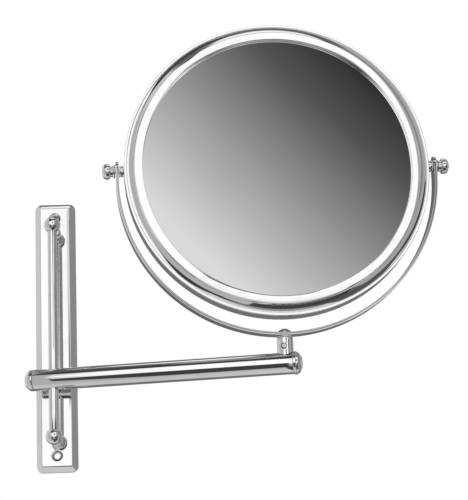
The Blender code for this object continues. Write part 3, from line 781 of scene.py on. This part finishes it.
def stand_off(side):
    """A ball bored for the rod's end, on a turned stem with a foot."""
    sign = 1 if side == "top" else -1
    centre = BALL_AT[side]
    stem_place = along(WALL, FRONT, (0, 0, centre.z))
    reach = -centre.y / MM
    stem_end = reach - BALL_FLAT - GAP
    foot = PLATE_DEPTH / MM + GAP
    stem = lathe(f"{side}_stem_turned",
                 [(0, reach - 0.5, 0), (SPIGOT, reach - 0.5, 0.3), (SPIGOT, stem_end, 0),
                  (STEM_RADIUS, stem_end, 0.35), (STEM_RADIUS, foot + 2.3, 1.6),
                  (STEM_FOOT, foot + 1, 0.3), (STEM_FOOT, foot, 0.1),
                  (STEM_SCREW_HOLE, foot, 0), (STEM_SCREW_HOLE, foot + 9, 0),
                  (0, foot + 9.6, 0)], stem_place, steps=48)
    dress(stem, TURNED_CHROME, "wall_bracket", "chrome_turned", f"{side}_stem")
    bore = ROD + GAP
    mouth = math.asin(bore / BALL_RADIUS)
    outline = [(0, BALL_RADIUS, 0)]
    turns = 28
    for i in range(1, turns + 1):
        angle = math.pi / 2 - (math.pi - mouth) * i / turns
        outline.append((BALL_RADIUS * math.cos(angle), BALL_RADIUS * math.sin(angle), 0))
    outline += [(bore, -BALL_FLOOR, 0), (0, -BALL_FLOOR, 0)]
    ball = lathe(f"{side}_ball_turned", outline, along(WALL, (0, 0, sign), centre), steps=64,
                 sharp_deg=30)
    flat = lathe("cut_flat", drill(7, -14, -BALL_FLAT), along(WALL, FRONT, centre))
    socket = lathe("cut_socket", drill(SPIGOT + GAP, -8, 0), along(WALL, FRONT, centre))
    apply_cuts(ball, [flat, socket])
    dress(ball, TURNED_CHROME, "wall_bracket", "chrome_turned", f"{side}_ball")


def guide_rod():
    """The polished rod between the two balls, with softened ends."""
    centre = (rod_low + rod_high) / 2
    half = (rod_high.z - rod_low.z) / 2 / MM
    piece = lathe("guide_rod_polished",
                  [(0, half, 0), (ROD, half, 0.4), (ROD, 0, 0), (ROD, -half, 0.4),
                   (0, -half, 0)], along(WALL, UP, centre), steps=64)
    dress(piece, TURNED_CHROME, "wall_bracket", "chrome_turned", "guide_rod")


# ---- arm ------------------------------------------------------------------------------------
def arm_tube():
    """Drawn tube with softened ends, the cross hole for the rod and the post's screw hole."""
    rings = 12
    outline = [(TUBE_BORE, TUBE_RIGHT, 0), (TUBE, TUBE_RIGHT, 0.25)]
    for i in range(1, rings):
        outline.append((TUBE, TUBE_RIGHT + (TUBE_LEFT - TUBE_RIGHT) * i / rings, 0))
    outline += [(TUBE, TUBE_LEFT, 0.25), (TUBE_BORE, TUBE_LEFT, 0)]
    tube = lathe("arm_tube_drawn", outline, along(ARM, (1, 0, 0)), closed=True, steps=96)
    rod_hole = cutter("cut_rod_hole", drill(ROD + 0.45, -12, 12), ARM, steps=64)
    screw_hole = cutter("cut_screw_hole", drill(SCREW_HOLE, 0, 12), POST)
    apply_cuts(tube, [rod_hole, screw_hole])
    dress(tube, TUBE_CHROME, "arm", "chrome_tube", "arm_tube")


def tension_cap():
    """The screw-in cap on the left: a rounded head, a hollow spigot."""
    start = GAP - TUBE_LEFT
    end = LEFT_CAP_END
    wall = 2.6
    cap = lathe("tension_cap_turned",
                [(0, end, 0), (4.6, end - 0.55, 3.0), (TUBE - 0.15, end - 3.6, 2.4),
                 (TUBE, start, 0.3), (CAP_SPIGOT, start, 0), (CAP_SPIGOT, start - wall, 0.4),
                 (CAP_HOLLOW, start - wall, 0.2), (CAP_HOLLOW, end - wall, 0),
                 (0, end - wall, 0)],
                along(ARM, (-1, 0, 0)), steps=96, segments=6)
    dress(cap, TURNED_CHROME, "arm", "chrome_turned", "tension_cap")


def end_cap():
    """The dome cap on the right with its collar."""
    start = TUBE_RIGHT + GAP
    end = ARM_LENGTH / MM + RIGHT_CAP_BEYOND
    cap = lathe("end_cap_turned",
                [(0, end, 0), (4.2, end - 0.45, 3.0), (6.95, end - 2.0, 2.4),
                 (7.45, start + 1.75, 0.2), (COLLAR, start + 1.5, 0.25), (COLLAR, start, 0.2),
                 (CAP_SPIGOT, start, 0), (CAP_SPIGOT, start - 2, 0.3), (0, start - 2, 0)],
                along(ARM, (1, 0, 0)), steps=96, segments=6)
    dress(cap, TURNED_CHROME, "arm", "chrome_turned", "end_cap")


def swivel_post():
    """The post astride the tube, with a radiused top and its side hole."""
    post = lathe("swivel_post_turned",
                 [(SCREW_HOLE, POST_TOP, 0.2), (POST_RADIUS, POST_TOP, 0.5),
                  (POST_RADIUS, 13, 0), (POST_RADIUS, 9, 0), (POST_RADIUS, POST_FOOT, 0),
                  (SCREW_HOLE, POST_FOOT, 0)], POST, closed=True, steps=64)
    saddle = lathe("cut_saddle", drill(TUBE + GAP, -12, 12), along(POST, (1, 0, 0)), steps=96)
    side = cutter("cut_side",
                  [(0, 12, 0), (2.6, 12, 0), (2.6, 6.0, 0), (SET_SCREW_HOLE, 5.2, 0),
                   (SET_SCREW_HOLE, 0, 0), (0, 0, 0)],
                  along(POST, FRONT, (0, 0, SET_SCREW_Z * MM)), steps=40)
    apply_cuts(post, [saddle, side])
    dress(post, TURNED_CHROME, "arm", "chrome_turned", "swivel_post")


def socket_cutter(place, across, low, high):
    """A six-sided recess."""
    return lathe("cut_hex", drill(across, low, high), place, steps=6)


def set_screw():
    """The headless screw in the post's side, with a six-sided socket."""
    place = along(POST, FRONT, (0, 0, SET_SCREW_Z * MM))
    inner, outer = SET_SCREW_SPAN
    grub = lathe("post_set_screw_turned",
                 [(0, outer, 0), (SET_SCREW_RADIUS, outer, 0.25),
                  (SET_SCREW_RADIUS, inner, 0.3), (0, inner, 0)], place, steps=32)
    apply_cuts(grub, [socket_cutter(place, 0.85, outer - 1.4, outer + 1)])
    dress(grub, STEEL, "arm", "plain_steel", "post_set_screw")


def swivel_screw():
    """The dome-headed screw on which the yoke turns."""
    top = (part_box("swivel_screw")[1].z - SWIVEL_AT.z) / MM
    seat = top - SWIVEL_DOME
    sphere = (SWIVEL_HEAD ** 2 + SWIVEL_DOME ** 2) / (2 * SWIVEL_DOME)
    half = math.asin(SWIVEL_HEAD / sphere)
    dome = []
    for i in range(11):
        angle = half * i / 10
        dome.append((sphere * math.sin(angle), top - sphere * (1 - math.cos(angle)), 0))
    screw = lathe("swivel_screw_domed",
                  dome + [(SWIVEL_SHANK, seat, 0), (SWIVEL_SHANK, 1.1, 0), (0, 0.6, 0)],
                  POST, steps=48)
    apply_cuts(screw, [socket_cutter(POST, 1.5, top - 1.4, top + 1)])
    dress(screw, TURNED_CHROME, "arm", "chrome_turned", "swivel_screw")


# ---- yoke -----------------------------------------------------------------------------------
def yoke():
    """A flat strip with round ends, bent into a U, thickened and edge-rounded."""
    leg = YOKE_TOP_Z - YOKE_ARC_Z
    bend = math.pi * YOKE_RADIUS
    length = bend + 2 * leg
    bm = bmesh.new()
    bmesh.ops.create_grid(bm, x_segments=220, y_segments=8, size=0.5)
    tip = YOKE_WIDTH / 2
    for v in bm.verts:
        way = (v.co.x + 0.5) * length
        from_end = min(way, length - way)
        # squeeze the grid lines towards the ends, where the outline is a half circle
        half = tip if from_end >= tip else math.sqrt(max(tip ** 2 - (tip - from_end) ** 2, 0))
        half = max(half, 0.12 * tip)
        side = v.co.y * 2 * half
        if way < leg:
            spot = Vector((-YOKE_RADIUS, side, YOKE_TOP_Z - way))
        elif way > leg + bend:
            spot = Vector((YOKE_RADIUS, side, YOKE_ARC_Z + way - leg - bend))
        else:
            angle = (way - leg) / YOKE_RADIUS
            spot = Vector((-YOKE_RADIUS * math.cos(angle), side,
                           YOKE_ARC_Z - YOKE_RADIUS * math.sin(angle)))
        v.co = spot
    band = finish_mesh("yoke_band", bm, YOKE, 60)
    wall = band.modifiers.new("Thickness", "SOLIDIFY")
    wall.thickness = YOKE_THICKNESS
    wall.offset = 0.0
    wall.use_even_offset = True
    edge = band.modifiers.new("Edge", "BEVEL")
    edge.width = YOKE_EDGE * MM
    edge.segments = 5
    edge.limit_method = "ANGLE"
    edge.angle_limit = math.radians(50)
    stud_axis = along(YOKE, (1, 0, 0), (0, 0, PIVOT_Z))
    studs = cutter("cut_studs", drill(SCREW_HOLE, -130, 130), stud_axis)
    screw = cutter("cut_screw", drill(SCREW_HOLE, 0, 30), YOKE)
    apply_cuts(band, [studs, screw])
    dress(band, SHADED_BAND_CHROME, "yoke_frame", "chrome_band", "yoke")


# ---- mirror head ----------------------------------------------------------------------------
def mirror_hoop():
    """The band round the mirror's edge that carries the pivots."""
    hoop = lathe("mirror_hoop_rolled",
                 [(HOOP_INSIDE, HOOP_HALF, 0.3), (HOOP, HOOP_HALF, 0.5), (HOOP, 0, 0),
                  (HOOP, -HOOP_HALF, 0.5), (HOOP_INSIDE, -HOOP_HALF, 0.3)],
                 along(HEAD, FRONT), closed=True, steps=ROUND)
    holes = cutter("cut_pivots", drill(PIVOT_BORE, -120, 120), along(HEAD, (1, 0, 0)))
    apply_cuts(hoop, [holes])
    dress(hoop, RIM_CHROME, "mirror_head", "chrome_rim", "mirror_hoop")


def rim(side, facing):
    """Rolled bezel: a sloping face, a steep neck, a cove and a bead that meets the hoop."""
    low = HOOP_HALF + GAP
    face = [(95.6, 8.9, 0.15), (95.6, 11.35, 0.28), (101.5, 10.4, 0.6), (102.15, 8.9, 0.5)]
    cove = [(104.5, 7.1, 4.0), (106.7, 6.4, 0.3)]
    bead = [(107.1, 6.85, 0.15), (108.55, 6.65, 0.2), (HOOP, 6.2, 0.15), (HOOP, low, 0.15)]
    inside = [(107.8, low, 0.1), (107.7, 5.35, 0.2), (104.4, 6.3, 0.6), (101.6, 7.9, 0.4),
              (101.0, 9.5, 0.3), (96.5, 10.3, 0.3), (96.4, 8.9, 0.15)]
    piece = lathe(f"{side}_rim_rolled", face + cove + bead + inside, along(HEAD, facing),
                  closed=True, steps=ROUND, segments=5, sharp_deg=55)
    dress(piece, RIM_CHROME, "mirror_head", "chrome_rim", f"{side}_rim")


def glass(side, facing, dish):
    """A mirror disc with a polished bevel round its edge; dish hollows its face."""
    bevel = 1.2
    rings = 14
    outline = []
    for i in range(rings + 1):
        radius = (GLASS_RADIUS - bevel) * i / rings
        outline.append((radius, GLASS_FACE - dish * (1 - (radius / GLASS_RADIUS) ** 2), 0))
    outline += [(GLASS_RADIUS, GLASS_FACE - 0.5, 0.12), (GLASS_RADIUS, GLASS_BACK, 0.2),
                (0, GLASS_BACK, 0)]
    piece = lathe(f"{side}_glass_silvered", outline, along(HEAD, facing), steps=ROUND,
                  sharp_deg=15)
    piece.data.materials.append(MIRROR_GLASS)
    piece.data.materials.append(GLASS_EDGE)
    axis = (HEAD.to_3x3() @ Vector(facing)).normalized()
    for polygon in piece.data.polygons:
        if abs(polygon.normal.dot(axis)) < 0.7:
            polygon.material_index = 1
    dress(piece, MIRROR_GLASS, "mirror_head", "mirror_glass", f"{side}_glass")


def pivot(side, sign):
    """Spacer, washers and mushroom knob on one stud."""
    place = along(HEAD, (sign, 0, 0))
    band_in = YOKE_BEND - YOKE_SHEET / 2
    band_out = YOKE_BEND + YOKE_SHEET / 2

    def disc(name, radius, low, high, low_round, high_round):
        """A bored disc between two heights on the stud, with its rims rounded."""
        outline = [(PIVOT_BORE, high, 0), (radius, high, high_round),
                   (radius, low, low_round), (PIVOT_BORE, low, 0)]
        return lathe(name, outline, place, closed=True, steps=48)

    boss_end = band_in - 1.25
    washer_end = band_out + 1.5
    boss = disc(f"{side}_pivot_boss_turned", BOSS_RADIUS, HOOP + GAP, boss_end, 0.2, 0.3)
    dress(boss, TURNED_CHROME, "mirror_head", "chrome_turned", f"{side}_pivot_boss")
    inner = disc(f"{side}_inner_washer_moulded", INNER_WASHER, boss_end + GAP, band_in - GAP,
                 0.15, 0.15)
    dress(inner, NYLON, "mirror_head", "nylon", f"{side}_inner_washer")
    outer = disc(f"{side}_outer_washer_pressed", OUTER_WASHER, band_out + GAP, washer_end,
                 0.2, 0.3)
    dress(outer, STEEL, "mirror_head", "plain_steel", f"{side}_outer_washer")
    low = washer_end + GAP
    neck = low + 2.2
    end = KNOB_END
    bore_end = end - 1.9
    knob = lathe(f"{side}_knob_turned",
                 [(0, end, 0), (3.3, end - 0.25, 1.5), (5.0, end - 1.3, 1.5),
                  (KNOB_RADIUS, end - 3.0, 1.5), (KNOB_RADIUS - 0.05, neck + 0.2, 0.7),
                  (KNOB_NECK, neck, 0.4), (KNOB_NECK, low, 0.2), (PIVOT_BORE, low, 0),
                  (PIVOT_BORE, bore_end, 0), (0, bore_end, 0)],
                 place, steps=64, segments=5)
    dress(knob, TURNED_CHROME, "mirror_head", "chrome_turned", f"{side}_knob")


wall_plate()
backing_strip()
for ball_side in ("top", "bottom"):
    stand_off(ball_side)
guide_rod()
arm_tube()
tension_cap()
end_cap()
swivel_post()
set_screw()
swivel_screw()
yoke()
mirror_hoop()
rim("front", FRONT)
rim("rear", REAR)
glass("front", FRONT, 0.0)
glass("rear", REAR, REAR_DISH)
for pivot_side, pivot_sign in (("left", -1), ("right", 1)):
    pivot(pivot_side, pivot_sign)

# ---- carried-over nodes and their materials -------------------------------------------------
KEPT_NODES = {
    STEEL: ["tension_spring", "post_anchor_nut", "top_stem_screw", "bottom_stem_screw",
            "upper_swivel_washer", "left_pivot_stud", "right_pivot_stud"],
    NYLON: ["friction_sleeve", "friction_plunger", "lower_swivel_washer"],
    BOARD: ["spacer_disc"],
}
for mat, names in KEPT_NODES.items():
    for name in names:
        frame["nodes"][name].data.materials.clear()
        frame["nodes"][name].data.materials.append(mat)
